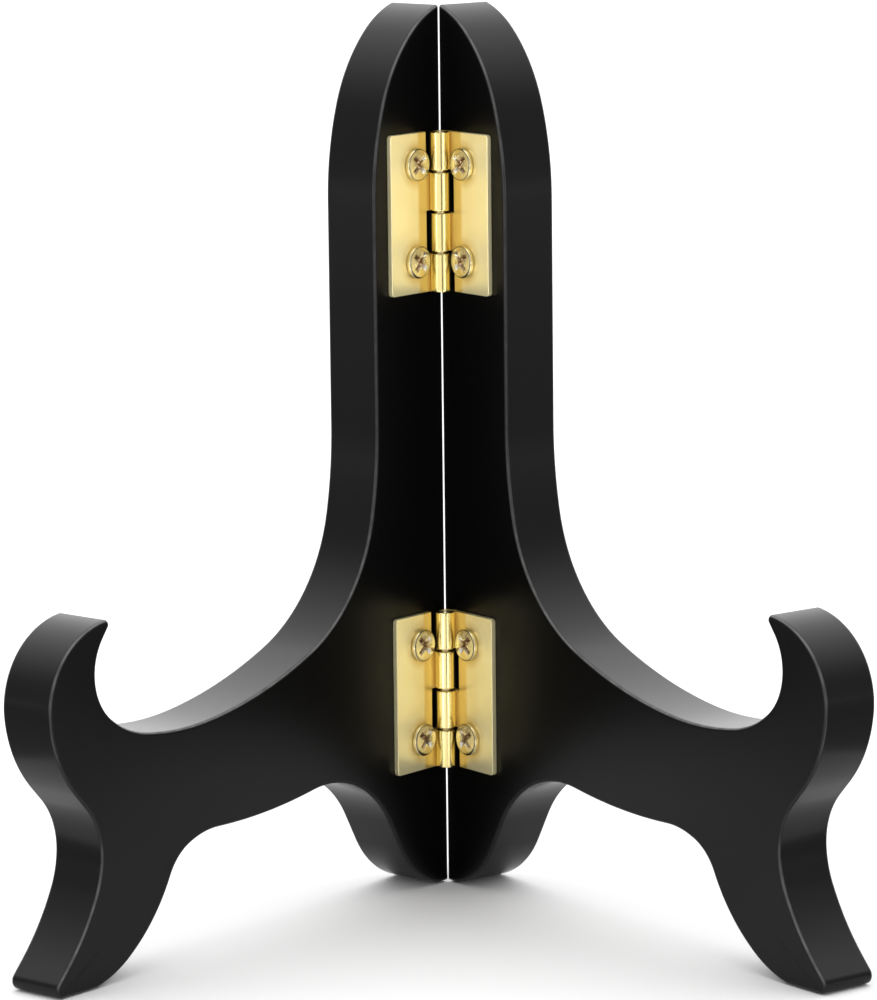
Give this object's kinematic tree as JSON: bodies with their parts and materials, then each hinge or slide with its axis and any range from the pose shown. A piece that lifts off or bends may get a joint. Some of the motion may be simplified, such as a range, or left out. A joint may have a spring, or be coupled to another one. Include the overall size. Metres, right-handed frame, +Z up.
{
  "type": "photo album stand",
  "caption": "Folding display stand: mirror-image boards, each a spine, arm, hooked lip and feet, joined by butt hinges so that they open like a book.",
  "frame": {"origin": "middle of the footprint, on the surface that the feet stand on, with the stand open as pictured", "axes": "+Z up along the hinge pins, -Y towards the viewer and the hooks, +X to the viewer's right"},
  "size_m": [0.1288, 0.0774, 0.1417],
  "materials": {
    "black_lacquer": "black satin lacquer over close-grained wood, edges eased",
    "hinge_brass": "bright satin brass plating, knuckles polished",
    "screw_brass": "pale brass plating, darker in the cross recess",
    "pin_brass": "pale brass, cut ends"
  },
  "bodies": {
    "left_side": {"left_panel": "black_lacquer", "upper_left_leaf": "hinge_brass", "upper_left_screw_top": "screw_brass", "upper_left_screw_bottom": "screw_brass", "upper_pin": "pin_brass", "lower_left_leaf": "hinge_brass", "lower_left_screw_top": "screw_brass", "lower_left_screw_bottom": "screw_brass", "lower_pin": "pin_brass"},
    "right_side": {"right_panel": "black_lacquer", "upper_right_leaf": "hinge_brass", "upper_right_screw_top": "screw_brass", "upper_right_screw_bottom": "screw_brass", "lower_right_leaf": "hinge_brass", "lower_right_screw_top": "screw_brass", "lower_right_screw_bottom": "screw_brass"}
  },
  "joints": [
    {"name": "fold", "type": "hinge", "parent": "left_side", "child": "right_side", "pos_m": [0, 0.02958, 0.0709], "axis": [0, 0, 1], "range_deg": [-77, 2]}
  ]
}
